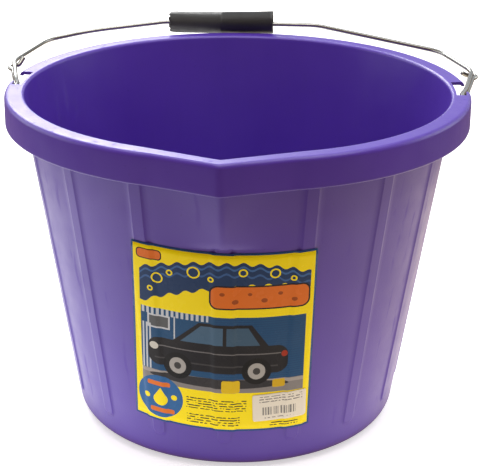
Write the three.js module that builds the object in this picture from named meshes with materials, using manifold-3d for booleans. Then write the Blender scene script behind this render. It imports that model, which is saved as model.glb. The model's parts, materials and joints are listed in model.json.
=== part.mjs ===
// A heavy-duty wash bucket: a moulded body with a pouring spout, a folding wire bail with a slit grip
// tube, a printed label and a small white sticker.
// Millimetres, +Z up. The origin is the centre of the base, on the floor. The spout points to -Y, the
// ears are at +X and -X, and the bail lies back over the rim towards +Y.
import * as THREE from "three";
import { mergeVertices } from "three/addons/utils/BufferGeometryUtils.js";
import Module from "manifold-3d";

// Body
const HEIGHT = 253.5; // floor to the top of the rim
const WALL_BASE_RADIUS = 120.5; // the wall's outer cone, continued down to the floor
const WALL_SLOPE = 0.1558; // radius gained for each millimetre of height
const WALL = 2.5;
const FOOT_RADIUS = 106.8; // where the flat foot ends and the base corner starts
const FOOT_INNER_RADIUS = 99;
const FOOT_DEPTH = 4; // how far the underside is raised inside the foot ring
const FLOOR_HEIGHT = 7; // inside floor
const FLOOR_CORNER = 8;

// Rim: a deep channel, open below, whose outer skirt hangs beside the wall
const RIM_RADIUS = 172;
const RIM_DEPTH = 22.4;
const RIM_OUTER_ROUND = 3.5;
const RIM_INNER_ROUND = 2.2;

// Spout: two straight sides that meet in a pointed lip
const SPOUT_HALF_ANGLE = THREE.MathUtils.degToRad(27.5); // from its tip to where it meets the round rim
const SPOUT_FOOT_HEIGHT = 182; // where it starts to leave the wall
const SPOUT_INNER_REACH = 14.2; // how far the lip's inner edge stands past the round rim
const SPOUT_OUTER_REACH = 12.85; // the same for the outer edge

// Ribs
const RIB_COUNT = 16;
const RIB_WIDTH = 9;
const RIB_HEIGHT = 1; // how far a rib stands out of the wall
const RIB_SUNK = 1.5; // how deep a rib is let into the wall
const RIB_FOOT_HEIGHT = 24;

// Ears: each side of the rim has a slot, a cross bar for the bail's eye and a web in front of it
const PIVOT_HEIGHT = HEIGHT - 8;
const BAR_RADIUS = 2.8;
const BAR_START = 157.6; // inside the wall
const BAR_END = 170.6; // inside the skirt
const SLOT_FRONT = -7;
const SLOT_BACK = 29;
const SLOT_INNER = 161;
const GATE_FRONT = 3; // from here back the skirt is cut away too, so the bail can lie outside the rim
const GATE_BACK = 58;
const GATE_FLOOR = HEIGHT - 16;
const WINDOW_TOP = HEIGHT - 3.5; // behind the slot the gate goes on under the flange, as a window
const WINDOW_INNER = 157;
const WEB_THICKNESS = 2;

// Bail, in its own frame: x across, y away from the pivot, z above the pivot
const WIRE_RADIUS = 1.75;
const WIRE_SIDES = 8;
const WIRE_STEP = 3;
const BAIL_LEAN = THREE.MathUtils.degToRad(3.9); // above the horizontal, lying back
const BAIL_REACH = 177.5; // from the pivot to the straight that carries the grip
const STRAND_OFFSET = 1.9; // the two strands lie this far above and below the pivot's plane
const EYE_RADIUS = 5.3;
const STRAND_JOIN = 24; // from here outwards the two strands lie together
// Each side's corners as [distance from the middle, distance from the pivot, cut of the bend], from the
// straight to the ear, and the eye's distance from the middle. Hand-bent wire is out of true, so the
// sides differ.
const RIGHT_SIDE = {
  eye: 165.8,
  corners: [[54, BAIL_REACH, 8], [155, 114, 10], [177.3, 67, 7], [170, STRAND_JOIN, 6]],
};
const LEFT_SIDE = {
  eye: 166.5,
  corners: [[73, BAIL_REACH, 3], [132, 148.5, 16], [164, 121, 10], [181, 67, 7], [171.2, STRAND_JOIN, 6]],
};
// Each tail, from the ear to the wire's cut end: out past the wire it came down, back below it and up
// on its other side, as [distance outside that wire, from the pivot, above the pivot, cut]
const RIGHT_TAIL = [
  [1.4, 60, -1.9, 2],
  [4.4, 65.5, -2, 2.6],
  [1.4, 69, -2.2, 2.2],
  [-4.3, 68, -1.8, 2],
  [-7.6, 66.5, 0.8, 0],
];
const LEFT_TAIL = [
  [1.4, 56, -1.9, 2],
  [5.4, 61.5, -2, 3],
  [1.4, 66, -2.2, 2.4],
  [-3.6, 66.5, -1.8, 2],
  [-7.8, 71.5, 3, 0],
];

// Grip
const GRIP_RADIUS = 9.5;
const GRIP_BORE_RADIUS = 5;
const GRIP_LENGTH = 88;
const GRIP_CENTRE = -26; // along the wire, from the middle
const GRIP_RAISE = 1; // the bore's axis above the wire's axis
const GRIP_TILT = THREE.MathUtils.degToRad(0.9);
const GRIP_SLIT = 1.6;

// Label and sticker
const LABEL_WIDTH = 130.5;
const LABEL_HEIGHT = 147.4;
const LABEL_THICKNESS = 0.4;
const SHEET_ORIGIN_HEIGHT = 108.5; // sheets are placed by x and y from this height on the wall's front
const LABEL_X = -1.65;
const LABEL_Y = -1.3;
const LABEL_TILT = THREE.MathUtils.degToRad(1.3);
const STICKER_WIDTH = 39;
const STICKER_HEIGHT = 23;
const STICKER_THICKNESS = 0.2;
const STICKER_X = 39.5;
const STICKER_Y = -55.5;
const STICKER_TILT = THREE.MathUtils.degToRad(-1);
const GAP = 0.3; // between pieces that touch

const wasm = await Module();
wasm.setup();

// ---- joining and cutting ----

function solidFrom(geometry) {
  const bare = geometry.clone();
  bare.deleteAttribute("normal");
  bare.deleteAttribute("uv");
  const merged = mergeVertices(bare, 1e-4);
  return new wasm.Manifold(
    new wasm.Mesh({
      numProp: 3,
      vertProperties: merged.attributes.position.array,
      triVerts: new Uint32Array(merged.index.array),
    }),
  );
}

function geometryFrom(solid) {
  const mesh = solid.getMesh();
  const geometry = new THREE.BufferGeometry();
  geometry.setAttribute("position", new THREE.BufferAttribute(mesh.vertProperties, 3));
  geometry.setIndex(new THREE.BufferAttribute(mesh.triVerts, 1));
  return geometry;
}

// A closed box from one corner to the opposite one
function boxBetween(low, high) {
  const size = high.map((value, i) => value - low[i]);
  const box = new THREE.BoxGeometry(...size);
  return box.translate(...low.map((value, i) => value + size[i] / 2));
}

// ---- body ----

function wallRadius(height) {
  return WALL_BASE_RADIUS + WALL_SLOPE * height;
}

const wallAngle = Math.atan(WALL_SLOPE);

// Points on an arc, from one angle to another, without its first point
function arcPoints(centreR, centreZ, radius, from, to, steps) {
  const points = [];
  for (let i = 1; i <= steps; i++) {
    const angle = from + ((to - from) * i) / steps;
    points.push([centreR + radius * Math.cos(angle), centreZ + radius * Math.sin(angle)]);
  }
  return points;
}

// The base corner is an arc that touches both the floor and the wall
function baseCorner() {
  const radius = (WALL_BASE_RADIUS - FOOT_RADIUS) / (1 / Math.cos(wallAngle) - WALL_SLOPE);
  return arcPoints(FOOT_RADIUS, radius, radius, -Math.PI / 2, -wallAngle, 5);
}

const RING_HEIGHTS = [SPOUT_FOOT_HEIGHT, 185, 192, 204, 217, HEIGHT - RIM_DEPTH];
const FLANGE_UNDERSIDE = HEIGHT - WALL;
const INNER_EDGE_RADIUS = wallRadius(HEIGHT - RIM_INNER_ROUND) - WALL + RIM_INNER_ROUND;

// The section from the axis under the base, up the outside, over the rim and down the inside.
// Each point is [radius, height, part], and the part says how the spout moves it.
function bodySection() {
  const lip = WALL / 2;
  const lipHeight = HEIGHT - RIM_DEPTH + lip;
  const roundCentre = RIM_RADIUS - RIM_OUTER_ROUND;
  const as = (part) => (point) => [...point, part];
  const under = [
    [0, FOOT_DEPTH],
    [FOOT_INNER_RADIUS - FOOT_DEPTH, FOOT_DEPTH],
    [FOOT_INNER_RADIUS, 0],
    [FOOT_RADIUS, 0],
    ...baseCorner(),
  ];
  const outerWall = [...RING_HEIGHTS, FLANGE_UNDERSIDE].map((z) => [wallRadius(z), z]);
  const skirt = [
    [RIM_RADIUS - WALL, FLANGE_UNDERSIDE],
    [RIM_RADIUS - WALL, lipHeight],
    ...arcPoints(RIM_RADIUS - lip, lipHeight, lip, Math.PI, 2 * Math.PI, 4),
    [RIM_RADIUS, HEIGHT - RIM_OUTER_ROUND],
    ...arcPoints(roundCentre, HEIGHT - RIM_OUTER_ROUND, RIM_OUTER_ROUND, 0, Math.PI / 2, 3),
    [INNER_EDGE_RADIUS, HEIGHT],
    ...arcPoints(INNER_EDGE_RADIUS, HEIGHT - RIM_INNER_ROUND, RIM_INNER_ROUND, Math.PI / 2, Math.PI, 3),
  ];
  const innerWall = RING_HEIGHTS.toReversed().map((z) => [wallRadius(z) - WALL, z]);
  const cornerHeight = FLOOR_HEIGHT + FLOOR_CORNER;
  const cornerRadius = wallRadius(cornerHeight) - WALL - FLOOR_CORNER;
  const floor = [
    [cornerRadius + FLOOR_CORNER, cornerHeight],
    ...arcPoints(cornerRadius, cornerHeight, FLOOR_CORNER, 0, -Math.PI / 2, 3),
    [0, FLOOR_HEIGHT],
  ];
  return [...under.map(as("base")), ...outerWall.map(as("wall")), ...skirt.map(as("rim")),
    ...innerWall.map(as("wall")), ...floor.map(as("base"))];
}

const SPOUT_COLUMNS = 10; // across the spout, so that its tip and both its ends lie on a column
const ROUND_COLUMNS = 61;

// The columns' angles from the spout's tip, closer to even where the wall is round
function columnAngle(column) {
  const half = SPOUT_COLUMNS / 2;
  if (column <= half) return (SPOUT_HALF_ANGLE * column) / half;
  if (column >= half + ROUND_COLUMNS) {
    return 2 * Math.PI - (SPOUT_HALF_ANGLE * (SPOUT_COLUMNS + ROUND_COLUMNS - column)) / half;
  }
  const round = 2 * Math.PI - 2 * SPOUT_HALF_ANGLE;
  return SPOUT_HALF_ANGLE + (round * (column - half)) / ROUND_COLUMNS;
}

// The angle in plan of a straight spout side that leaves the circle at the spout's half angle
function sideAngle(radius, reach) {
  const across = radius * Math.sin(SPOUT_HALF_ANGLE);
  return Math.atan2(radius + reach - radius * Math.cos(SPOUT_HALF_ANGLE), across);
}

function straightSide(tip, side, angle) {
  return (tip * Math.cos(side)) / Math.cos(Math.abs(angle) - side);
}

function spoutRadius(radius, height, part, angle) {
  if (part === "base" || Math.abs(angle) > SPOUT_HALF_ANGLE + 1e-6) return radius;
  if (part === "wall") {
    const top = HEIGHT - RIM_INNER_ROUND - SPOUT_FOOT_HEIGHT;
    const share = Math.max(0, height - SPOUT_FOOT_HEIGHT) / top;
    const reach = SPOUT_INNER_REACH * Math.sqrt(share);
    const side = sideAngle(INNER_EDGE_RADIUS, SPOUT_INNER_REACH);
    return Math.max(radius, straightSide(radius + reach, side, angle));
  }
  const share = (radius - INNER_EDGE_RADIUS) / (RIM_RADIUS - INNER_EDGE_RADIUS);
  const reach = THREE.MathUtils.lerp(SPOUT_INNER_REACH, SPOUT_OUTER_REACH, share);
  return Math.max(radius, straightSide(radius + reach, sideAngle(radius, reach), angle));
}

function shellSolid() {
  const section = bodySection();
  const columns = SPOUT_COLUMNS + ROUND_COLUMNS;
  const lathe = new THREE.LatheGeometry(section.map(([r, z]) => new THREE.Vector2(r, z)), columns);
  const position = lathe.attributes.position;
  for (let column = 0; column <= columns; column++) {
    const turn = columnAngle(column % columns);
    const angle = turn > Math.PI ? turn - 2 * Math.PI : turn;
    section.forEach(([r, z, part], i) => {
      const radius = r === 0 ? 0 : spoutRadius(r, z, part, angle);
      position.setXYZ(column * section.length + i, radius * Math.sin(angle), -radius * Math.cos(angle), z);
    });
  }
  return solidFrom(lathe);
}

// A raised bar with a round lower end, standing on the wall in front, turned to its own angle
function ribSolid(angle, topHeight) {
  const low = RIB_FOOT_HEIGHT / Math.cos(wallAngle) + RIB_WIDTH / 2;
  const high = topHeight / Math.cos(wallAngle);
  const outline = new THREE.Shape();
  outline.moveTo(RIB_WIDTH / 2, high);
  outline.lineTo(-RIB_WIDTH / 2, high);
  outline.lineTo(-RIB_WIDTH / 2, low);
  outline.absarc(0, low, RIB_WIDTH / 2, Math.PI, 2 * Math.PI, false);
  const rib = new THREE.ExtrudeGeometry(outline, {
    depth: RIB_HEIGHT + RIB_SUNK,
    bevelEnabled: false,
    curveSegments: 4,
  });
  rib.translate(0, 0, -RIB_SUNK);
  const across = new THREE.Vector3(1, 0, 0);
  const upWall = new THREE.Vector3(0, -Math.sin(wallAngle), Math.cos(wallAngle));
  const outward = new THREE.Vector3(0, -Math.cos(wallAngle), -Math.sin(wallAngle));
  rib.applyMatrix4(new THREE.Matrix4().makeBasis(across, upWall, outward));
  return solidFrom(rib.translate(0, -WALL_BASE_RADIUS, 0).rotateZ(angle));
}

// Front and back are along Y. side is 1 for the ear at +X and -1 for the one at -X.
function earCuts(side) {
  const cut = (inner, outer, front, back, low, high) => {
    const [left, right] = side > 0 ? [inner, outer] : [-outer, -inner];
    return solidFrom(boxBetween([left, front, low], [right, back, high]));
  };
  const outside = RIM_RADIUS + 5;
  return [
    cut(SLOT_INNER, RIM_RADIUS - WALL, SLOT_FRONT, SLOT_BACK, FLANGE_UNDERSIDE - 1, HEIGHT + 1),
    cut(SLOT_INNER, outside, GATE_FRONT, SLOT_BACK, GATE_FLOOR, HEIGHT + 1),
    cut(WINDOW_INNER, outside, SLOT_BACK - 1, GATE_BACK, GATE_FLOOR, WINDOW_TOP),
  ];
}

function earSolids(side) {
  const length = BAR_END - BAR_START;
  const bar = new THREE.CylinderGeometry(BAR_RADIUS, BAR_RADIUS, length, 20);
  bar.rotateZ(Math.PI / 2).translate(side * (BAR_START + length / 2), 0, PIVOT_HEIGHT);
  const web = boxBetween(
    [BAR_START, -WEB_THICKNESS / 2, GATE_FLOOR],
    [BAR_END, WEB_THICKNESS / 2, FLANGE_UNDERSIDE + 1],
  );
  const turn = Math.asin((SLOT_FRONT - WEB_THICKNESS) / RIM_RADIUS);
  web.rotateZ(side > 0 ? turn : Math.PI - turn);
  return [bar, web].map(solidFrom);
}

function bodyGeometry() {
  let body = shellSolid();
  for (let i = 0; i < RIB_COUNT; i++) {
    const underSpout = i === 0;
    const top = underSpout ? SPOUT_FOOT_HEIGHT + 1 : FLANGE_UNDERSIDE + 1;
    body = body.add(ribSolid((2 * Math.PI * i) / RIB_COUNT, top));
  }
  for (const side of [1, -1]) {
    for (const cut of earCuts(side)) body = body.subtract(cut);
    for (const solid of earSolids(side)) body = body.add(solid);
  }
  return geometryFrom(body);
}

// ---- bail ----

// A path of straight runs. Each corner is [x, y, z, cut], rounded from cut before it to cut after it.
function roundedPath(corners) {
  const path = new THREE.CurvePath();
  let from = new THREE.Vector3(...corners[0].slice(0, 3));
  for (let i = 1; i < corners.length - 1; i++) {
    const corner = new THREE.Vector3(...corners[i].slice(0, 3));
    const before = new THREE.Vector3(...corners[i - 1].slice(0, 3)).sub(corner).normalize();
    const after = new THREE.Vector3(...corners[i + 1].slice(0, 3)).sub(corner).normalize();
    const start = before.multiplyScalar(corners[i][3]).add(corner);
    const end = after.multiplyScalar(corners[i][3]).add(corner);
    if (from.distanceTo(start) > 0.01) path.add(new THREE.LineCurve3(from, start));
    path.add(new THREE.QuadraticBezierCurve3(start, corner, end));
    from = end;
  }
  const last = new THREE.Vector3(...corners.at(-1).slice(0, 3));
  path.add(new THREE.LineCurve3(from, last));
  return path;
}

// One side of the wire, from the straight to the cut end of the tail: out to the shoulder, in to the
// ear, round the cross bar and back under itself to the tail.
function bailSide(direction, side, tail) {
  const eye = EYE_RADIUS;
  const [elbowX, elbowY] = side.corners.at(-2);
  const [joinX, joinY] = side.corners.at(-1);
  const besideWire = ([x, y, z, cut]) => {
    const share = (y - joinY) / (elbowY - joinY);
    return [THREE.MathUtils.lerp(joinX, elbowX, share) + x, y, z, cut];
  };
  const corners = [
    ...side.corners.map(([x, y, cut]) => [x, y, STRAND_OFFSET, cut]),
    [side.eye, 8, 4, 4],
    [side.eye, -eye, eye, eye - 0.2],
    [side.eye, -eye, -eye, eye - 0.2],
    [side.eye, 8, -4, 4],
    ...[[0.6, joinY, -STRAND_OFFSET, 6], ...tail].map(besideWire),
  ];
  return corners.map(([x, y, z, cut]) => [direction * x, y, z, cut]);
}

// A polygon standing for the wire's round section
function wireSection() {
  const outline = new THREE.Shape();
  for (let i = 0; i < WIRE_SIDES; i++) {
    const angle = (2 * Math.PI * i) / WIRE_SIDES;
    const point = [WIRE_RADIUS * Math.cos(angle), WIRE_RADIUS * Math.sin(angle)];
    if (i === 0) outline.moveTo(...point);
    else outline.lineTo(...point);
  }
  return outline;
}

function bailGeometry() {
  const right = bailSide(1, RIGHT_SIDE, RIGHT_TAIL);
  const left = bailSide(-1, LEFT_SIDE, LEFT_TAIL);
  const path = roundedPath([...left.toReversed(), ...right]);
  return new THREE.ExtrudeGeometry(wireSection(), {
    steps: Math.round(path.getLength() / WIRE_STEP),
    extrudePath: path,
  });
}

// ---- grip ----

function gripGeometry() {
  const outerGap = Math.asin(GRIP_SLIT / 2 / GRIP_RADIUS);
  const innerGap = Math.asin(GRIP_SLIT / 2 / GRIP_BORE_RADIUS);
  const down = -Math.PI / 2;
  const outline = new THREE.Shape();
  outline.absarc(0, 0, GRIP_RADIUS, down + outerGap, down + 2 * Math.PI - outerGap, false);
  outline.absarc(0, 0, GRIP_BORE_RADIUS, down + 2 * Math.PI - innerGap, down + innerGap, true);
  const grip = new THREE.ExtrudeGeometry(outline, {
    depth: GRIP_LENGTH,
    bevelEnabled: false,
    curveSegments: 28,
  });
  return grip.translate(0, 0, -GRIP_LENGTH / 2).rotateX(Math.PI / 2).rotateZ(Math.PI / 2);
}

// ---- label and sticker ----

const apexDistance = wallRadius(SHEET_ORIGIN_HEIGHT) / Math.sin(wallAngle);

// How far a sheet is lifted where it crosses a rib, with a soft shoulder on both sides
function ribLift(angle, radius) {
  const pitch = (2 * Math.PI) / RIB_COUNT;
  const fromRib = Math.abs(angle - pitch * Math.round(angle / pitch)) * radius;
  return RIB_HEIGHT * (1 - THREE.MathUtils.smoothstep(fromRib, RIB_WIDTH / 2 + 2, RIB_WIDTH / 2 + 5));
}

// A flat sheet wrapped on the wall's cone without stretching, lift millimetres above the wall
function wrapPoint(x, y, lift) {
  const distance = Math.hypot(apexDistance + y, x);
  const angle = Math.atan2(x, apexDistance + y) / Math.sin(wallAngle);
  const wall = distance * Math.sin(wallAngle);
  const out = lift + ribLift(angle, wall);
  const radius = wall + out * Math.cos(wallAngle);
  const wallHeight = (wall - WALL_BASE_RADIUS) / WALL_SLOPE;
  const height = wallHeight - out * Math.sin(wallAngle);
  return new THREE.Vector3(radius * Math.sin(angle), -radius * Math.cos(angle), height);
}

// x and y place the sheet's centre on the unrolled wall, and tilt turns it clockwise
function wrappedSheet(width, height, thickness, lift, x, y, tilt) {
  const sheet = new THREE.BoxGeometry(width, height, thickness, Math.round(width / 2.6), 4, 1);
  sheet.rotateZ(-tilt).translate(x, y, lift + thickness / 2);
  const position = sheet.attributes.position;
  const point = new THREE.Vector3();
  for (let i = 0; i < position.count; i++) {
    point.fromBufferAttribute(position, i);
    position.setXYZ(i, ...wrapPoint(point.x, point.y, point.z));
  }
  sheet.computeVertexNormals();
  return sheet;
}

// ---- the bucket ----

function piece(name, geometry, color, roughness, metalness) {
  const material = new THREE.MeshStandardMaterial({ color, roughness, metalness });
  const mesh = new THREE.Mesh(geometry, material);
  mesh.name = name;
  return mesh;
}

const bucket = new THREE.Group();
bucket.add(piece("bucket_body", bodyGeometry(), 0x5b3fb5, 0.42, 0));

const labelSheet = wrappedSheet(
  LABEL_WIDTH, LABEL_HEIGHT, LABEL_THICKNESS, GAP, LABEL_X, LABEL_Y, LABEL_TILT);
bucket.add(piece("label", labelSheet, 0xe8c800, 0.35, 0));

const stickerLift = GAP + LABEL_THICKNESS + GAP;
const stickerSheet = wrappedSheet(
  STICKER_WIDTH, STICKER_HEIGHT, STICKER_THICKNESS, stickerLift, STICKER_X, STICKER_Y, STICKER_TILT);
bucket.add(piece("price_sticker", stickerSheet, 0xf0ece2, 0.55, 0));

const bail = new THREE.Group();
bail.position.set(0, 0, PIVOT_HEIGHT);
bail.rotation.x = BAIL_LEAN;
bail.add(piece("bail_wire", bailGeometry(), 0xb9bcbd, 0.3, 1));

const grip = piece("handle_grip", gripGeometry(), 0x161718, 0.55, 0);
grip.position.set(GRIP_CENTRE, BAIL_REACH, STRAND_OFFSET + GRIP_RAISE);
grip.rotation.y = -GRIP_TILT;
bail.add(grip);
bucket.add(bail);

export default bucket;
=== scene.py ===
import json
import math
import bmesh
import bpy
from mathutils import Matrix, Vector, noise


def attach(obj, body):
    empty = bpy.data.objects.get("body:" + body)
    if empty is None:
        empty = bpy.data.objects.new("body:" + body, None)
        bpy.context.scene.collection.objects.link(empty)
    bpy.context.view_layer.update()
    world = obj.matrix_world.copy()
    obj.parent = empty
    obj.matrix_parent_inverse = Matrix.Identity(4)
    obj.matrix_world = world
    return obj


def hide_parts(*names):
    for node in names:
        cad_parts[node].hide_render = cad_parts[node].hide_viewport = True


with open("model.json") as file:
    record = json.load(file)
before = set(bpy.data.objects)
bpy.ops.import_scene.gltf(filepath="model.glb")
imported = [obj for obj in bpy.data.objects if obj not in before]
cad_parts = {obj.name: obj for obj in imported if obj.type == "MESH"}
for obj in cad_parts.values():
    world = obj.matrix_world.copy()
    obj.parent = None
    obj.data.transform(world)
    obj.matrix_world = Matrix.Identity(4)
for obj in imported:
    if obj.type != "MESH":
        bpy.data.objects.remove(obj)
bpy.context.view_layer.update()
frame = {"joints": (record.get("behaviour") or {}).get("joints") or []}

# ---- Camera ----
# A long lens, held a little above the rim and slightly to the bucket's right, looking down on it.
stand_distance = 1.1661
aim_height = 0.2536
rise = math.radians(15.58)
pitch = math.radians(20.91)
turn = math.radians(3.6)
swing = math.radians(-0.16)
roll = math.radians(0.47)
camera = bpy.data.objects.new("camera", bpy.data.cameras.new("camera"))
camera.data.lens = 117.0
camera.data.sensor_width = 36.0
seat = Vector((0, -stand_distance * math.cos(rise), aim_height + stand_distance * math.sin(rise)))
camera.location = Matrix.Rotation(turn, 3, "Z") @ seat
facing = Matrix.Rotation(turn + swing, 4, "Z") @ Matrix.Rotation(math.pi / 2 - pitch, 4, "X")
camera.rotation_euler = (facing @ Matrix.Rotation(roll, 4, "Z")).to_euler()
bpy.context.scene.collection.objects.link(camera)
bpy.context.scene.camera = camera


# ---- Body ----
# One thick injection moulding in purple polyethylene: a tapered tub with sixteen raised ribs, a deep
# rim that is hollow underneath and a pointed pouring lip. The mould leaves a satin skin.
MM = 0.001
HEIGHT = 253.5
WALL = 2.5
SLOPE = 0.1558
CONE_RADIUS = 120.5
FOOT_RADIUS = 106.8
RIM_RADIUS = 171.84
SKIRT_FOOT = HEIGHT - 22.4
OUTER_ROUND = 3.44
INNER_ROUND = 2.6
SPOUT_HALF = math.radians(27.5)
SPOUT_FOOT = 182.0
SPOUT_INNER_REACH = 14.2
SPOUT_OUTER_REACH = 12.6
RIBS = 16
RIB_HALF_WIDTH = 4.5
RIB_RISE = 1.0
RIB_FOOT = 24.0
PIVOT_HEIGHT = HEIGHT - 8
GATE_FLOOR = HEIGHT - 16
SLOT_INNER = 161.0
SLOT_OUTER = RIM_RADIUS - OUTER_ROUND
BAR_RADIUS = 2.8
BAR_LENGTH = 13.0
BAR_MIDDLE = 164.1
WEB_THICKNESS = 2
WEB_TURN = math.radians(3.75)
SLOT_START, SLOT_END = -2.45, 10
GATE_START = 1
WINDOW_END = 20.05
LIP_BEVEL = 0.45
SPOUT_FILLET = 6
POINT_ROUNDING = 0.004
wall_angle = math.atan(SLOPE)
FLANGE = HEIGHT - WALL


def wall_radius(height):
    return CONE_RADIUS + SLOPE * height


def arc(centre_r, centre_z, radius, start, end, steps):
    """Points round an arc in the section's plane, in degrees, with both its ends."""
    angles = [math.radians(start + (end - start) * i / steps) for i in range(steps + 1)]
    return [(centre_r + radius * math.cos(a), centre_z + radius * math.sin(a)) for a in angles]


def heights(start, end, step):
    count = round((end - start) / step)
    return [start + (end - start) * i / count for i in range(count + 1)]


def lathe(sections, steps):
    """Spins each open section about Z in one bmesh, with its seam and its poles merged."""
    bm = bmesh.new()
    part = bm.verts.layers.int.new("part")
    verts = []
    for number, points in sections:
        for r, z in points:
            vert = bm.verts.new((0, -r, z))
            vert[part] = number
            verts.append(vert)
    edges = [bm.edges.new(pair) for pair in zip(verts, verts[1:])]
    bmesh.ops.spin(bm, geom=verts + edges, cent=(0, 0, 0), axis=(0, 0, 1), angle=2 * math.pi,
                   steps=steps, use_merge=True)
    bmesh.ops.remove_doubles(bm, verts=bm.verts, dist=1e-4)
    return bm


BASE, WALL_OUT, RIM, WALL_IN = range(4)
corner = (CONE_RADIUS - FOOT_RADIUS) / (1 / math.cos(wall_angle) - SLOPE)
inner_edge = wall_radius(HEIGHT - INNER_ROUND) - WALL + INNER_ROUND
base_out = [(0, 4), (40, 4), (80, 4), (94.5, 4)] + arc(97.5, 1.5, 1.5, 150, 270, 5)
base_out += arc(FOOT_RADIUS, corner, corner, -90, -math.degrees(wall_angle), 14)
wall_heights = heights(18.5, 30, 1.15) + heights(36, 180, 8) + [SPOUT_FOOT, SPOUT_FOOT + 0.7]
wall_heights += heights(184, SKIRT_FOOT, 2.3) + [236, 242, 247, FLANGE - 0.4]
rim = [(SLOT_INNER - 0.6, FLANGE + 0.01), (SLOT_INNER, FLANGE), (165, FLANGE)]
rim += arc(SLOT_OUTER, FLANGE - 1, 1, 90, 0, 6)
rim += [(RIM_RADIUS - WALL, 244), (RIM_RADIUS - WALL, GATE_FLOOR), (RIM_RADIUS - WALL, 234)]
rim += arc(RIM_RADIUS - WALL / 2, SKIRT_FOOT + WALL / 2, WALL / 2, 180, 360, 10)
rim += [(RIM_RADIUS, 234), (RIM_RADIUS, GATE_FLOOR), (RIM_RADIUS, 244)]
rim += arc(SLOT_OUTER, HEIGHT - OUTER_ROUND, OUTER_ROUND, 0, 90, 6)
rim += [(165, HEIGHT), (SLOT_INNER, HEIGHT)]
rim += arc(inner_edge, HEIGHT - INNER_ROUND, INNER_ROUND, 90, 180, 6)
wall_in = [(wall_radius(z) - WALL, z) for z in reversed([SPOUT_FOOT] + heights(184, 240, 3.3))]
wall_in += [(wall_radius(z) - WALL, z) for z in reversed(heights(15, 176, 8))]
floor_corner = wall_radius(15) - WALL - 8
base_in = arc(floor_corner, 15, 8, 0, -90, 8)[1:] + [(70, 7), (35, 7), (0, 7)]
body = lathe([(BASE, base_out), (WALL_OUT, [(wall_radius(z), z) for z in wall_heights]), (RIM, rim),
              (WALL_IN, wall_in), (BASE, base_in)], RIBS * 24)

# Half of one sixteenth: the columns crowd together along a rib's edge.
COLUMNS = [0, 1.0, 1.6, 1.77, 1.93, 2.45, 3.6, 5.0, 6.25, 7.5, 8.75, 10, 11.25]
FLANK_COLUMN = 4
MIDDLE_RADIUS = 140.0
sector = 2 * math.pi / RIBS
step = sector / 24


def column_angle(even_angle, radius, on_wall):
    """The place of one of the spin's even columns, at a rib's own constant width on the wall."""
    middle = sector * round(even_angle / sector)
    column = round(abs(even_angle - middle) / step)
    width = COLUMNS[column]
    if on_wall and column <= FLANK_COLUMN:
        width *= MIDDLE_RADIUS / radius
    return middle + math.copysign(math.radians(width), even_angle - middle)


def rib_height(angle, radius, height):
    """How far the ribs lift the wall: a flat top, steep flanks and a round lower end."""
    if abs(angle) < sector / 2 and height > SPOUT_FOOT:
        return 0.0
    across = abs(angle - sector * round(angle / sector)) * radius
    end = max(0.0, RIB_FOOT + RIB_HALF_WIDTH - height)
    share = (RIB_HALF_WIDTH + 0.9 - math.hypot(across, end)) / 0.95
    return RIB_RISE * min(1.0, max(0.0, share))


def straight_side(radius, reach, angle):
    """The radius in plan of the spout's straight side, with its point a little rounded."""
    side = math.atan2(radius + reach - radius * math.cos(SPOUT_HALF), radius * math.sin(SPOUT_HALF))
    return (radius + reach) * math.cos(side) / math.cos(math.hypot(angle, POINT_ROUNDING) - side)


def soft_max(a, b, width):
    """The larger of two values, with a fillet where they are alike."""
    near = max(0.0, width - abs(a - b)) / width
    return max(a, b) + near * near * width / 4


def spout_radius(radius, height, angle, cone):
    """The wall bulged out to the spout, with a fillet that fades out towards the spout's ends."""
    reach = SPOUT_INNER_REACH * math.sqrt((height - SPOUT_FOOT) / (HEIGHT - INNER_ROUND - SPOUT_FOOT))
    fillet = min(SPOUT_FILLET * (1 - abs(angle) / SPOUT_HALF), 1.5 * reach) + 0.01
    return soft_max(radius, straight_side(cone, reach, angle), fillet)


part = body.verts.layers.int["part"]
for vert in body.verts:
    radius = math.hypot(vert.co.x, vert.co.y)
    if radius < 1:
        continue
    angle = column_angle(math.atan2(vert.co.x, -vert.co.y), radius, vert[part] == WALL_OUT)
    if vert[part] == WALL_OUT:
        radius += rib_height(angle, radius, vert.co.z)
    in_spout = abs(angle) < SPOUT_HALF and vert.co.z > SPOUT_FOOT
    if in_spout and vert[part] in (WALL_OUT, WALL_IN):
        cone = wall_radius(vert.co.z) - (WALL if vert[part] == WALL_IN else 0)
        radius = spout_radius(radius, vert.co.z, angle, cone)
    elif in_spout and vert[part] == RIM:
        share = (radius - inner_edge) / (RIM_RADIUS - inner_edge)
        reach = SPOUT_INNER_REACH + (SPOUT_OUTER_REACH - SPOUT_INNER_REACH) * share
        radius = max(radius, straight_side(radius, reach, angle))
    vert.co.x = radius * math.sin(angle)
    vert.co.y = -radius * math.cos(angle)

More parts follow.
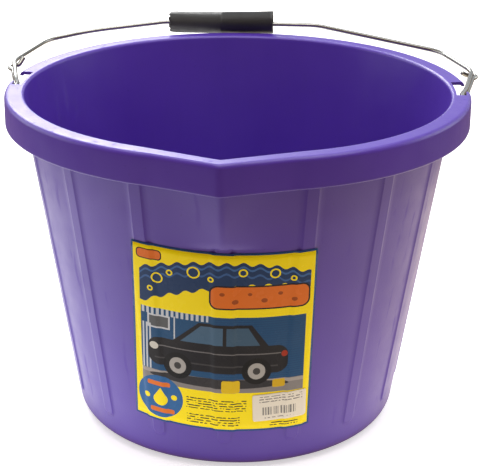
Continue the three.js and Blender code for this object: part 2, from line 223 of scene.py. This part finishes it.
bmesh.ops.recalc_face_normals(body, faces=body.faces)
for side in (1, -1):
    opened = []
    for face in body.faces:
        middle = face.calc_center_median()
        radius = math.hypot(middle.x, middle.y)
        back = math.degrees(math.atan2(middle.y, side * middle.x))
        in_slot = SLOT_INNER < radius < SLOT_OUTER and middle.z > FLANGE - 0.05
        in_gate = radius > SLOT_OUTER and middle.z > GATE_FLOOR
        in_window = in_gate and middle.z < HEIGHT - OUTER_ROUND
        if ((in_slot and SLOT_START < back < SLOT_END) or (in_gate and GATE_START < back < SLOT_END)
                or (in_window and GATE_START < back < WINDOW_END)):
            opened.append(face)
    bmesh.ops.delete(body, geom=opened, context="FACES")
    lips = [edge for edge in body.edges if edge.is_boundary]
    bmesh.ops.bridge_loops(body, edges=lips)
    bmesh.ops.bevel(body, geom=lips, offset=LIP_BEVEL, segments=2, profile=0.5, affect="EDGES", material=-1,
                    clamp_overlap=True)
    bmesh.ops.recalc_face_normals(body, faces=body.faces)

for side in (1, -1):
    bar = bmesh.ops.create_cone(body, cap_ends=True, segments=32, radius1=BAR_RADIUS, radius2=BAR_RADIUS,
                                depth=BAR_LENGTH)
    place = Matrix.Translation((side * BAR_MIDDLE, 0, PIVOT_HEIGHT)) @ Matrix.Rotation(math.pi / 2, 4, "Y")
    bmesh.ops.transform(body, matrix=place, verts=bar["verts"])
    web = bmesh.ops.create_cube(body, size=1.0)
    size = Matrix.Diagonal((BAR_LENGTH, WEB_THICKNESS, FLANGE + 1 - GATE_FLOOR, 1))
    place = Matrix.Translation((BAR_MIDDLE, 0, (FLANGE + 1 + GATE_FLOOR) / 2))
    front = Matrix.Rotation(-side * WEB_TURN + (0 if side > 0 else math.pi), 4, "Z")
    bmesh.ops.transform(body, matrix=front @ place @ size, verts=web["verts"])

bmesh.ops.scale(body, vec=(MM, MM, MM), verts=body.verts)


def finished(name, bm, material, body_name):
    """Makes the piece from its bmesh, smooth shaded, and hangs it on its moving body."""
    for face in bm.faces:
        face.smooth = True
    mesh = bpy.data.meshes.new(name)
    bm.to_mesh(mesh)
    bm.free()
    piece = bpy.data.objects.new(name, mesh)
    bpy.context.scene.collection.objects.link(piece)
    piece.data.materials.append(material)
    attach(piece, body_name)
    return piece


class Finish:
    """A node material with short calls for the nodes that these finishes use."""

    def __init__(self, name):
        self.material = bpy.data.materials.new(name)
        self.material.use_nodes = True
        self.tree = self.material.node_tree
        self.shader = self.tree.nodes["Principled BSDF"]
        self.object_place = self.tree.nodes.new("ShaderNodeTexCoord").outputs["Object"]

    def node(self, kind, **inputs):
        made = self.tree.nodes.new("ShaderNode" + kind)
        for name, value in inputs.items():
            self.put(made.inputs[name.replace("_", " ")], value)
        return made

    def put(self, socket, value):
        if isinstance(value, bpy.types.NodeSocket):
            self.tree.links.new(value, socket)
        else:
            socket.default_value = value

    def noise(self, scale, detail=3.0, place=None):
        made = self.node("TexNoise", Scale=scale, Detail=detail)
        self.put(made.inputs["Vector"], place or self.object_place)
        return made.outputs["Fac"]

    def stretched(self, x, y, z, place=None):
        made = self.node("Mapping")
        made.inputs["Scale"].default_value = (x, y, z)
        self.put(made.inputs["Vector"], place or self.object_place)
        return made.outputs["Vector"]

    def spread(self, value, low, high, to_low=0.0, to_high=1.0):
        made = self.node("MapRange")
        for name, number in (("From Min", low), ("From Max", high), ("To Min", to_low), ("To Max", to_high)):
            made.inputs[name].default_value = number
        self.put(made.inputs["Value"], value)
        return made.outputs["Result"]

    def mix(self, amount, first, second):
        made = self.tree.nodes.new("ShaderNodeMix")
        made.data_type = "RGBA"
        self.put(made.inputs["Factor"], amount)
        self.put(made.inputs["A"], first)
        self.put(made.inputs["B"], second)
        return made.outputs["Result"]

    def math(self, operation, first, second=0.0):
        made = self.tree.nodes.new("ShaderNodeMath")
        made.operation = operation
        self.put(made.inputs[0], first)
        self.put(made.inputs[1], second)
        return made.outputs["Value"]

    def bump(self, height, distance, under=None):
        made = self.node("Bump", Height=height, Strength=1.0, Distance=distance)
        if under:
            self.put(made.inputs["Normal"], under)
        return made.outputs["Normal"]


purple = Finish("purple_polyethylene")
cloudy = purple.spread(purple.noise(9.0), 0.35, 0.65)
flow = purple.spread(purple.noise(40.0, 4.0, purple.stretched(1, 1, 0.08)), 0.3, 0.7)
tone = purple.mix(cloudy, (0.066, 0.024, 0.33, 1), (0.080, 0.031, 0.37, 1))
tone = purple.mix(purple.math("MULTIPLY", flow, 0.35), tone, (0.088, 0.038, 0.38, 1))
specks = purple.spread(purple.noise(420.0, 2.0), 0.70, 0.78)
purple.put(purple.shader.inputs["Base Color"],
           purple.mix(purple.math("MULTIPLY", specks, 0.35), tone, (0.03, 0.015, 0.14, 1)))
rubbed = purple.spread(purple.noise(60.0, 5.0), 0.3, 0.7, 0.30, 0.40)
scratches = purple.spread(purple.noise(160.0, 8.0, purple.stretched(1, 1, 0.04)), 0.62, 0.70, 0.0, 0.16)
purple.put(purple.shader.inputs["Roughness"], purple.math("ADD", rubbed, scratches))
skin = purple.bump(purple.noise(900.0, 2.0), 0.00006)
waves = purple.bump(purple.noise(14.0, 2.0), 0.0006, skin)
purple.put(purple.shader.inputs["Normal"], waves)

tub = finished("moulded_body", body, purple.material, "bucket")
tub.modifiers.new("even_shading", "WEIGHTED_NORMAL").keep_sharp = True
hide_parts("bucket_body")

# ---- Bail ----
# One length of 3.5 mm galvanised wire. Each end is bent round its ear's cross bar, laid back along
# itself and twisted once across at the shoulder. It is bent by hand, so its two sides differ.
WIRE_RADIUS = 1.75
LEAN = math.radians(3.9)
REACH = 177.5
STRAND = 1.9
EYE = 5.3
JOIN = 24
RIGHT_EYE = 165.8
RIGHT_SIDE = [(54, REACH, 8), (155, 114, 10), (177.3, 67, 7), (170, JOIN, 6)]
RIGHT_TAIL = [(1.4, 60, -1.9, 2), (4.2, 65.5, -2, 2.6), (1.4, 69, -2.2, 2.2), (-4.3, 68, -1.8, 2),
              (-7.6, 66.5, 0.8, 0)]
LEFT_EYE = 166.5
LEFT_SIDE = [(73, REACH, 3), (132, 148.5, 16), (164, 121, 10), (181, 67, 7), (171.2, JOIN, 6)]
LEFT_TAIL = [(1.4, 56, -1.9, 2), (4.8, 61.5, -2, 3), (1.4, 66, -2.2, 2.4), (-3.6, 66.5, -1.8, 2),
             (-7.8, 71.5, 3, 0)]


def bail_side(direction, eye, side, tail):
    """Corners from the straight to the cut end, each with how far before it its bend begins."""
    corners = [(x, y, STRAND, bend) for x, y, bend in side]
    corners += [(eye, 8, 4, 4), (eye, -EYE, EYE, EYE - 0.2), (eye, -EYE, -EYE, EYE - 0.2), (eye, 8, -4, 4)]
    (elbow_x, elbow_y, _), (join_x, join_y, _) = side[-2:]
    for x, y, z, bend in [(0.6, JOIN, -STRAND, 6)] + tail:
        share = (y - join_y) / (elbow_y - join_y)
        corners.append((join_x + (elbow_x - join_x) * share + x, y, z, bend))
    return [(Vector((direction * x, y, z)), bend) for x, y, z, bend in corners]


def tube(corners, radius, sides):
    """A round wire through the corners, each rounded by a parabola, as a closed mesh."""
    points = [(corners[0][0],) * 3]
    for (before, _), (at, bend), (after, _) in zip(corners, corners[1:], corners[2:]):
        start = at + (before - at).normalized() * bend
        end = at + (after - at).normalized() * bend
        points.append((start + (before - start) * 0.05, start, start + (at - start) * 2 / 3))
        points.append((end + (at - end) * 2 / 3, end, end + (after - end) * 0.05))
    points.append((corners[-1][0],) * 3)
    curve = bpy.data.curves.new("wire_route", "CURVE")
    curve.dimensions = "3D"
    spline = curve.splines.new("BEZIER")
    spline.bezier_points.add(len(points) - 1)
    for bend, (left, place, right) in zip(spline.bezier_points, points):
        bend.handle_left_type = bend.handle_right_type = "FREE"
        bend.handle_left, bend.co, bend.handle_right = left, place, right
    curve.resolution_u = 7
    curve.bevel_depth = radius
    curve.bevel_resolution = sides // 4 - 1
    curve.use_fill_caps = True
    route = bpy.data.objects.new("wire_route", curve)
    bm = bmesh.new()
    bm.from_mesh(route.to_mesh())
    bpy.data.objects.remove(route)
    bmesh.ops.remove_doubles(bm, verts=bm.verts, dist=1e-3)
    return bm


left = bail_side(-1, LEFT_EYE, LEFT_SIDE, LEFT_TAIL)
right = bail_side(1, RIGHT_EYE, RIGHT_SIDE, RIGHT_TAIL)
wire = tube(left[::-1] + right, WIRE_RADIUS, 24)
lay_back = Matrix.Translation((0, 0, PIVOT_HEIGHT)) @ Matrix.Rotation(LEAN, 4, "X")
bmesh.ops.transform(wire, matrix=Matrix.Scale(MM, 4) @ lay_back, verts=wire.verts)
bmesh.ops.recalc_face_normals(wire, faces=wire.faces)

zinc = Finish("galvanised_wire")
spangle = zinc.noise(700.0, 3.0)
dull = zinc.spread(zinc.noise(45.0, 4.0), 0.35, 0.7, 0.0, 0.6)
bright = zinc.mix(zinc.spread(spangle, 0.3, 0.7), (0.27, 0.27, 0.25, 1), (0.38, 0.38, 0.36, 1))
zinc.put(zinc.shader.inputs["Base Color"], zinc.mix(dull, bright, (0.20, 0.20, 0.18, 1)))
zinc.put(zinc.shader.inputs["Roughness"], zinc.spread(spangle, 0.3, 0.7, 0.11, 0.19))
zinc.put(zinc.shader.inputs["Normal"], zinc.bump(zinc.noise(500.0, 2.0), 0.00003))
zinc.shader.inputs["Metallic"].default_value = 1.0
bail = finished("wire_bail", wire, zinc.material, "bail")
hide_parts("bail_wire")

# ---- Grip ----
# A short length of thick black tube, cut to length by hand, slit along one side and pushed over the
# wire. Its right end flares a little, and its left end is squeezed and cut ragged.
GRIP_LENGTH = 88
GRIP_RADIUS = 9.5
GRIP_BORE = 5.0
SLIT_ANGLE = math.radians(13)
GRIP_STEPS = 44
grip = bmesh.new()
ends = [grip.verts.new((-GRIP_LENGTH / 2, 0, -r)) for r in (GRIP_BORE, 6.5, 8.0, GRIP_RADIUS)]
spoke = [grip.edges.new(pair) for pair in zip(ends, ends[1:])]
bmesh.ops.rotate(grip, verts=ends, cent=(0, 0, 0), matrix=Matrix.Rotation(SLIT_ANGLE / 2, 3, "X"))
bmesh.ops.spin(grip, geom=ends + spoke, cent=(0, 0, 0), axis=(1, 0, 0),
               angle=2 * math.pi - SLIT_ANGLE, steps=56)
front = list(grip.faces)
for i in range(GRIP_STEPS):
    moved = bmesh.ops.extrude_face_region(grip, geom=front)["geom"]
    front = [item for item in moved if isinstance(item, bmesh.types.BMFace)]
    bmesh.ops.translate(grip, vec=(GRIP_LENGTH / GRIP_STEPS, 0, 0),
                        verts=[item for item in moved if isinstance(item, bmesh.types.BMVert)])
bmesh.ops.recalc_face_normals(grip, faces=grip.faces)
bmesh.ops.bevel(grip, geom=[edge for edge in grip.edges if edge.calc_face_angle(0) > 1], offset=0.6,
                segments=3, profile=0.5, affect="EDGES", material=-1, clamp_overlap=True)
for vert in grip.verts:
    x, y, z = vert.co
    along = x / (GRIP_LENGTH / 2)
    around = math.atan2(y, -z)
    to_left = max(0.0, (-along - 0.82) / 0.18)
    to_right = max(0.0, (along - 0.8) / 0.2)
    size = 0.955 - 0.035 * along * abs(along) * (along < 0) - 0.05 * max(0.0, -along) + 0.03 * max(0.0, along)
    size += 0.015 * to_right ** 2 - 0.05 * to_left ** 2
    size += 0.012 * noise.noise(Vector((along * 3, math.cos(around) * 1.3, math.sin(around) * 1.3)))
    lift = 0.16 * to_right ** 2 * max(0.0, 1 - abs(around - 0.35) / 0.45)
    spot = Vector((0, y * 0.45, z * 0.45))
    vert.co.x = x + to_left * (1.4 + 1.9 * noise.noise(spot)) + to_right * 0.5 * noise.noise(spot * 0.6)
    vert.co.y = y * (size + lift)
    vert.co.z = z * (size + lift) + 0.5 * (along * along - 0.9)

spin = next(joint for joint in frame["joints"] if joint["child"] == "grip")
along = Vector(spin["axis"]).normalized()
upward = (Vector((0, 0, 1)) - along * along.z).normalized()
turned = Matrix((along, upward.cross(along), upward)).transposed().to_4x4()
place = Matrix.Translation(spin["pos_m"]) @ turned @ Matrix.Scale(MM, 4)
bmesh.ops.transform(grip, matrix=place, verts=grip.verts)

rubber = Finish("black_tube")
patchy = rubber.spread(rubber.noise(70.0, 4.0, rubber.stretched(0.25, 1, 1)), 0.35, 0.7)
dusty = rubber.mix(patchy, (0.010, 0.011, 0.012, 1), (0.022, 0.024, 0.024, 1))
rubber.put(rubber.shader.inputs["Base Color"], dusty)
rubber.put(rubber.shader.inputs["Roughness"], rubber.spread(rubber.noise(200.0, 4.0), 0.3, 0.7, 0.42, 0.58))
grain = rubber.bump(rubber.noise(1600.0, 3.0), 0.00012)
drag = rubber.bump(rubber.noise(260.0, 3.0, rubber.stretched(0.06, 1, 1)), 0.00025, grain)
rubber.put(rubber.shader.inputs["Normal"], drag)
tube_grip = finished("slit_grip", grip, rubber.material, "grip")
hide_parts("handle_grip")

# ---- Label ----
# A glossy printed film, stuck to the front of the tub, so it bridges the ribs in soft ridges. Its
# print is a plain picture of a car being washed, with bars where words would stand.
LABEL_SIZE = (130.5, 147.4)
SHEET_ORIGIN = 108.5
LABEL_CENTRE = (-1.65, -1.3)
LABEL_TILT = math.radians(1.3)
BORDER = 1.6
apex = wall_radius(SHEET_ORIGIN) / math.sin(wall_angle)


def wrapped_place(x, y, lift):
    """A point of a flat sheet, wrapped on the tub's cone without stretching."""
    away = math.hypot(apex + y, x)
    angle = math.atan2(x, apex + y) / math.sin(wall_angle)
    wall = away * math.sin(wall_angle)
    pitch = 2 * math.pi / RIBS
    from_rib = abs(angle - pitch * round(angle / pitch)) * wall
    share = min(1.0, max(0.0, (from_rib - RIB_HALF_WIDTH - 2) / 3))
    out = lift + RIB_RISE * (1 - share * share * (3 - 2 * share))
    radius = wall + out * math.cos(wall_angle)
    height = (wall - CONE_RADIUS) / SLOPE - out * math.sin(wall_angle)
    return Vector((radius * math.sin(angle), -radius * math.cos(angle), height)) * MM


def sheet(size, centre, tilt, lift, thickness, columns, rows, corner_radius):
    """A thin sheet with a UV map over its own face and rounded corners, wrapped on the tub."""
    bm = bmesh.new()
    bm.loops.layers.uv.new("sheet")
    bmesh.ops.create_grid(bm, x_segments=columns, y_segments=rows, size=0.5, calc_uvs=True)
    half = Vector((size[0] / 2, size[1] / 2))
    for vert in bm.verts:
        x, y = vert.co.x * size[0], vert.co.y * size[1]
        inner_x, inner_y = (max(0.0, abs(v) - h + corner_radius) for v, h in zip((x, y), half))
        if inner_x and inner_y:
            pull = min(1.0, corner_radius / math.hypot(inner_x, inner_y))
            x = math.copysign(half.x - corner_radius + inner_x * pull, x)
            y = math.copysign(half.y - corner_radius + inner_y * pull, y)
        across = x * math.cos(tilt) + y * math.sin(tilt) + centre[0]
        up = y * math.cos(tilt) - x * math.sin(tilt) + centre[1]
        vert.co = wrapped_place(across, up, lift)
    bmesh.ops.recalc_face_normals(bm, faces=bm.faces)
    if sum(face.normal.y for face in bm.faces) > 0:
        bmesh.ops.reverse_faces(bm, faces=bm.faces)
    bmesh.ops.solidify(bm, geom=bm.faces[:], thickness=thickness * MM)
    return bm


class Print(Finish):
    """A printed sheet: shapes laid over each other in the sheet's own millimetres."""

    def __init__(self, name, size, origin_up, ground):
        super().__init__(name)
        flat = self.node("UVMap").outputs["UV"]
        centred = self.vector("SUBTRACT", flat, (0.5, 0.5 + origin_up / size[1], 0))
        self.sheet_place = self.vector("MULTIPLY", centred, (size[0], size[1], 0))
        split = self.node("SeparateXYZ", Vector=self.sheet_place)
        self.x, self.y = split.outputs["X"], split.outputs["Y"]
        self.ink = ground

    def vector(self, operation, first, second=None):
        made = self.tree.nodes.new("ShaderNodeVectorMath")
        made.operation = operation
        self.put(made.inputs[0], first)
        if second is not None:
            self.put(made.inputs[1], second)
        return made.outputs["Value" if operation in ("LENGTH", "DOT_PRODUCT") else "Vector"]

    def lay(self, mask, ink):
        self.ink = self.mix(mask, self.ink, ink)

    def box(self, x, y, half_x, half_y, rounding=0.01):
        off = self.vector("ABSOLUTE", self.vector("SUBTRACT", self.sheet_place, (x, y, 0)))
        past = self.vector("SUBTRACT", off, (half_x - rounding, half_y - rounding, 0))
        past = self.vector("MAXIMUM", past, (0, 0, 0))
        return self.math("LESS_THAN", self.vector("LENGTH", past), rounding)

    def oval(self, x, y, radius_x, radius_y):
        off = self.vector("SUBTRACT", self.sheet_place, (x, y, 0))
        off = self.vector("MULTIPLY", off, (1 / radius_x, 1 / radius_y, 1))
        return self.math("LESS_THAN", self.vector("LENGTH", off), 1.0)

    def polygon(self, corners):
        """A convex shape with its corners given anticlockwise."""
        inside = 1.0
        for (x, y), (next_x, next_y) in zip(corners, corners[1:] + corners[:1]):
            across = (y - next_y, next_x - x, 0)
            start = across[0] * x + across[1] * y
            edge = self.math("GREATER_THAN", self.vector("DOT_PRODUCT", self.sheet_place, across), start)
            inside = self.math("MULTIPLY", inside, edge)
        return inside

    def bars(self, mask, pitch, share, across=False):
        """Stripes inside a mask, up and down the sheet or across it."""
        phase = self.math("FRACT", self.math("DIVIDE", self.x if across else self.y, pitch))
        return self.math("MULTIPLY", mask, self.math("LESS_THAN", phase, share))

    def words(self, mask, pitch):
        """Broken thin bars that stand for lines of small print."""
        stretched = self.stretched(0.5, 0.9 / pitch, 1, self.sheet_place)
        gaps = self.math("GREATER_THAN", self.noise(1.0, 0.0, stretched), 0.43)
        return self.math("MULTIPLY", self.bars(mask, pitch, 0.42), gaps)


YELLOW = (0.95, 0.78, 0.004, 1)
NAVY = (0.016, 0.045, 0.13, 1)
ORANGE = (0.72, 0.17, 0.02, 1)
INK = (0.012, 0.012, 0.016, 1)
SKY = (0.012, 0.075, 0.19, 1)
PALE = (0.55, 0.6, 0.66, 1)
art = Print("label_print", LABEL_SIZE, -LABEL_CENTRE[1], YELLOW)
curve = art.math("MULTIPLY", art.math("MULTIPLY", art.x, art.x), -0.0029)
ripple = art.math("MULTIPLY", art.math("SINE", art.math("MULTIPLY", art.x, 0.55)), 1.3)
top = art.math("ADD", art.math("ADD", curve, art.math("MULTIPLY", art.x, 0.028)), 64.0)
low = art.math("ADD", art.math("ADD", curve, art.math("MULTIPLY", art.x, 0.165)), 44.5)
under_top = art.math("LESS_THAN", art.math("SUBTRACT", art.y, ripple), top)
over_low = art.math("GREATER_THAN", art.math("ADD", art.y, ripple), low)
band = art.math("MULTIPLY", art.math("MULTIPLY", under_top, over_low), art.box(1, 45, 60, 24))
art.lay(band, NAVY)
depth = art.math("SUBTRACT", art.math("SUBTRACT", art.y, ripple), top)
for line, ink in ((-3.5, (0.05, 0.14, 0.36, 1)), (-9.0, (0.045, 0.12, 0.32, 1))):
    near = art.math("LESS_THAN", art.math("ABSOLUTE", art.math("SUBTRACT", depth, line)), 0.8)
    art.lay(art.math("MULTIPLY", near, band), ink)
BUBBLES = [(-46, 46, 4.2), (-37, 52, 2.4), (-20, 55, 4.6), (-8, 51, 2.2), (14, 57, 3.2), (36, 56, 3.8),
           (49, 51, 2.2), (-51, 37, 2.2)]
for x, y, size in BUBBLES:
    art.lay(art.oval(x, y, size, size), YELLOW)
    art.lay(art.oval(x, y, size - 1.1, size - 1.1), NAVY)
art.lay(art.box(26, 37.3, 35, 9.6, 6), INK)
art.lay(art.box(26, 37.3, 33.8, 8.4, 5), ORANGE)
for x, y, size in ((0, 40, 1.8), (9, 34, 2.3), (19, 40, 1.5), (29, 35, 2.2), (40, 40, 1.7), (50, 34.5, 2.0)):
    art.lay(art.oval(x, y, size, size * 0.8), (0.33, 0.07, 0.01, 1))
art.lay(art.box(-52, 63.8, 9.3, 4.1, 3), INK)
art.lay(art.box(-52, 63.8, 8.5, 3.3, 2.4), ORANGE)

panel = art.box(0.2, -10.3, 58.6, 31.6)
art.lay(panel, SKY)
art.lay(art.bars(art.box(27, -5, 31.5, 26), 1.9, 0.42), (0.012, 0.06, 0.17, 1))
art.lay(art.bars(art.box(-33.8, 18.7, 24.6, 2.6), 3.6, 0.55, across=True), PALE)
art.lay(art.box(-45, 10.5, 8.3, 5.6), PALE)
art.lay(art.box(-45, 10.5, 7, 4.3), (0.10, 0.11, 0.12, 1))
art.lay(art.bars(art.box(-54, -12, 4.2, 20), 2.6, 0.5, across=True), PALE)
art.lay(art.box(-33.4, 0, 0.5, 17), PALE)
art.lay(art.box(0.2, -36.2, 58.6, 5.7), (0.23, 0.22, 0.22, 1))
art.lay(art.box(0.2, -32.4, 58.6, 1.4), (0.36, 0.34, 0.33, 1))
art.lay(art.oval(-2, -34.5, 50, 4), (0.03, 0.03, 0.035, 1))
art.lay(art.box(-3, -14, 50, 11.5, 8), INK)
art.lay(art.polygon([(-36, -4), (34, -4), (21, 15), (-16, 15)]), INK)
art.lay(art.polygon([(-29, -2), (1, -2), (1, 12.5), (-14.5, 12.5)]), (0.06, 0.13, 0.22, 1))
art.lay(art.polygon([(3.5, -2), (27, -2), (18.5, 12.5), (3.5, 12.5)]), (0.045, 0.1, 0.17, 1))
art.lay(art.box(-3, -9.2, 45, 0.45), (0.16, 0.16, 0.17, 1))
art.lay(art.box(-4, -19.5, 44, 0.6), (0.05, 0.05, 0.055, 1))
for x in (-31, 25):
    art.lay(art.oval(x, -23.5, 10.5, 11), (0.006, 0.006, 0.007, 1))
    art.lay(art.oval(x, -23.5, 6.2, 6.8), (0.38, 0.38, 0.37, 1))
    art.lay(art.oval(x, -23.5, 2.6, 2.9), (0.05, 0.05, 0.05, 1))
art.lay(art.oval(-48.5, -10, 3.4, 3.0), (0.6, 0.6, 0.55, 1))
art.lay(art.oval(44.5, -10, 2.2, 2.6), (0.35, 0.03, 0.01, 1))
art.lay(art.box(7, -36.6, 6.5, 5.2, 1.6), (0.72, 0.5, 0.01, 1))
art.lay(art.box(41, -34.6, 4.5, 3.4, 1.4), (0.62, 0.4, 0.01, 1))

art.lay(art.oval(-44.6, -53.6, 17.6, 18.1), (0.022, 0.125, 0.34, 1))
art.lay(art.box(-45.4, -42.6, 8.6, 1.9, 1.2), ORANGE)
art.lay(art.box(-42.6, -65.4, 9.2, 1.9, 1.2), ORANGE)
art.lay(art.oval(-44, -56, 5.4, 5.2), YELLOW)
art.lay(art.polygon([(-48.9, -53.8), (-39.1, -53.8), (-44, -45.8)]), YELLOW)
for x, y in ((-54.5, -54.5), (-33.8, -52.5)):
    art.lay(art.oval(x, y, 2.3, 2.3), YELLOW)
art.lay(art.words(art.box(-3, -52.6, 21.5, 5.3), 2.15), INK)
art.lay(art.words(art.box(-5, -66.2, 19, 4.3), 2.2), INK)
art.lay(art.words(art.box(45.5, -69.2, 10.5, 2.1), 2.1), INK)
inside_border = art.box(0, LABEL_CENTRE[1], LABEL_SIZE[0] / 2 - BORDER, LABEL_SIZE[1] / 2 - BORDER)
frame_line = art.math("SUBTRACT", 1.0, inside_border)
art.lay(frame_line, (0.02, 0.075, 0.24, 1))
fading = art.spread(art.noise(30.0, 3.0), 0.3, 0.7, 0.0, 0.015)
art.put(art.shader.inputs["Base Color"], art.mix(fading, art.ink, (0.75, 0.7, 0.55, 1)))
art.put(art.shader.inputs["Roughness"], art.spread(art.noise(80.0, 4.0), 0.3, 0.7, 0.2, 0.32))
art.shader.inputs["Specular IOR Level"].default_value = 0.15
art.put(art.shader.inputs["Normal"], art.bump(art.noise(22.0, 3.0), 0.0005))
label_mesh = sheet(LABEL_SIZE, LABEL_CENTRE, LABEL_TILT, 0.35, 0.25, 96, 24, 0.8)
label = finished("printed_label", label_mesh, art.material, "bucket")
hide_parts("label")

# ---- Sticker ----
# A small white paper sticker with rounded corners, stuck on the label's lower right by the seller.
STICKER_SIZE = (39, 23)
STICKER_CENTRE = (39.5, -55.5)
STICKER_TILT = math.radians(-1)
paper = Print("sticker_paper", STICKER_SIZE, 0, (0.76, 0.73, 0.64, 1))
paper.lay(paper.words(paper.box(1, 6.6, 15.5, 2.9), 2.2), (0.16, 0.15, 0.14, 1))
stripes = paper.noise(1.0, 1.0, paper.stretched(1.15, 0.0, 1, paper.sheet_place))
code = paper.math("MULTIPLY", paper.box(-0.5, -3.2, 12, 3.4), paper.math("GREATER_THAN", stripes, 0.5))
paper.lay(code, (0.13, 0.13, 0.13, 1))
paper.lay(paper.words(paper.box(-0.5, -8.6, 10.5, 0.9), 1.9), (0.2, 0.19, 0.18, 1))
fibres = paper.spread(paper.noise(700.0, 3.0), 0.3, 0.7, 0.0, 0.12)
paper.put(paper.shader.inputs["Base Color"], paper.mix(fibres, paper.ink, (0.9, 0.88, 0.82, 1)))
paper.put(paper.shader.inputs["Roughness"], paper.spread(paper.noise(300.0), 0.3, 0.7, 0.5, 0.62))
paper.put(paper.shader.inputs["Normal"], paper.bump(paper.noise(900.0, 3.0), 0.00005))
sticker_mesh = sheet(STICKER_SIZE, STICKER_CENTRE, STICKER_TILT, 0.75, 0.15, 40, 24, 1.8)
sticker = finished("paper_sticker", sticker_mesh, paper.material, "bucket")
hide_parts("price_sticker")

# ---- Floor, lights and backdrop ----
# A plain white floor in a white studio, as it is seen. What the object reflects of it and takes light from
# is dimmer: a warm room on the camera's side, a pale backdrop, and a painted glow on the floor, a bright
# patch between the tub's foot and the distance, with painted shade in a ring round the foot. Broad soft boxes
# stand behind it, at both sides and above.
ROOM = (0.32, 0.22, 0.15, 1)
BACKDROP = (0.75, 0.77, 0.80, 1)
# Painted light: the glow of the floor's bright patch, white on one side and warmer on the other.
PATCH_GLOW = (2.0, 1.95, 1.95, 1)
WARM_PATCH_GLOW = (1.68, 1.42, 1.1, 1)
GLOW = 0.55
FOOT_SHADE = (0.118, 0.145)
PATCH_EDGE = (0.72, 0.46)
floor_mesh = bmesh.new()
bmesh.ops.create_grid(floor_mesh, x_segments=1, y_segments=1, size=6.0)
floor = bpy.data.objects.new("floor", bpy.data.meshes.new("floor"))
floor_mesh.to_mesh(floor.data)
floor_mesh.free()
bpy.context.scene.collection.objects.link(floor)
pale = Finish("pale_floor")
pale.shader.inputs["Base Color"].default_value = (0.8, 0.8, 0.8, 1)
pale.shader.inputs["Roughness"].default_value = 0.9
pale.shader.inputs["Emission Color"].default_value = (1, 1, 1, 1)
pale.shader.inputs["Emission Strength"].default_value = GLOW
split = pale.node("SeparateXYZ", Vector=pale.object_place)
beside = pale.math("MAXIMUM", pale.math("MULTIPLY", split.outputs["X"], -0.55),
                   pale.math("MULTIPLY", split.outputs["X"], 0.42))
to_back = pale.spread(pale.math("ADD", split.outputs["Y"], beside), -0.46, -0.05)
from_middle = pale.node("VectorMath")
from_middle.operation = "LENGTH"
pale.put(from_middle.inputs[0], pale.object_place)
lit = pale.math("MULTIPLY", to_back, pale.spread(from_middle.outputs["Value"], *PATCH_EDGE))
# Painted shade: the floor's glow falls to the room's colour in a ring round the tub's foot, a painted contact
# shadow.
lit = pale.math("MULTIPLY", lit, pale.spread(from_middle.outputs["Value"], *FOOT_SHADE))
# Painted light: the glowing patch turns warmer towards the right.
patch = pale.mix(pale.spread(split.outputs["X"], -0.1, 0.25), PATCH_GLOW, WARM_PATCH_GLOW)
dim = pale.node("Emission", Color=pale.mix(lit, ROOM, patch))
floor_share = pale.tree.nodes.new("ShaderNodeMixShader")
pale.put(floor_share.inputs["Fac"], pale.tree.nodes.new("ShaderNodeLightPath").outputs["Is Camera Ray"])
pale.put(floor_share.inputs[1], dim.outputs["Emission"])
pale.put(floor_share.inputs[2], pale.shader.outputs["BSDF"])
pale.put(pale.tree.nodes["Material Output"].inputs["Surface"], floor_share.outputs["Shader"])
floor.data.materials.append(pale.material)


def soft_box(name, place, width, height, power):
    lamp = bpy.data.objects.new(name, bpy.data.lights.new(name, "AREA"))
    lamp.data.shape = "RECTANGLE"
    lamp.data.size, lamp.data.size_y = width, height
    lamp.data.energy = power
    lamp.location = place
    lamp.rotation_euler = (Vector((0, 0, 0.15)) - lamp.location).to_track_quat("-Z", "Y").to_euler()
    bpy.context.scene.collection.objects.link(lamp)


soft_box("glare_box", (-0.7, 1.72, 1.26), 1.15, 0.9, 27)
soft_box("left_box", (-1.7, 0.3, 0.7), 1.6, 1.2, 9)
soft_box("right_box", (1.7, 0.6, 0.7), 1.2, 1.2, 7)
soft_box("overhead_box", (0.1, -0.2, 1.9), 2.1, 2.1, 38)

world = bpy.data.worlds.new("studio")
world.use_nodes = True
studio = world.node_tree
direction = studio.nodes.new("ShaderNodeSeparateXYZ")
studio.links.new(studio.nodes.new("ShaderNodeTexCoord").outputs["Generated"], direction.inputs["Vector"])
room_to_backdrop = studio.nodes.new("ShaderNodeValToRGB")
for stop, place, colour in zip(room_to_backdrop.color_ramp.elements, (0.0, 0.4), (ROOM, BACKDROP)):
    stop.position = place
    stop.color = colour
studio.links.new(direction.outputs["Y"], room_to_backdrop.inputs["Fac"])
seen = studio.nodes.new("ShaderNodeMix")
seen.data_type = "RGBA"
studio.links.new(studio.nodes.new("ShaderNodeLightPath").outputs["Is Camera Ray"], seen.inputs["Factor"])
studio.links.new(room_to_backdrop.outputs["Color"], seen.inputs["A"])
seen.inputs["B"].default_value = (1, 1, 1, 1)
studio.links.new(seen.outputs["Result"], studio.nodes["Background"].inputs["Color"])
bpy.context.scene.world = world
bpy.context.scene.view_settings.view_transform = "Standard"
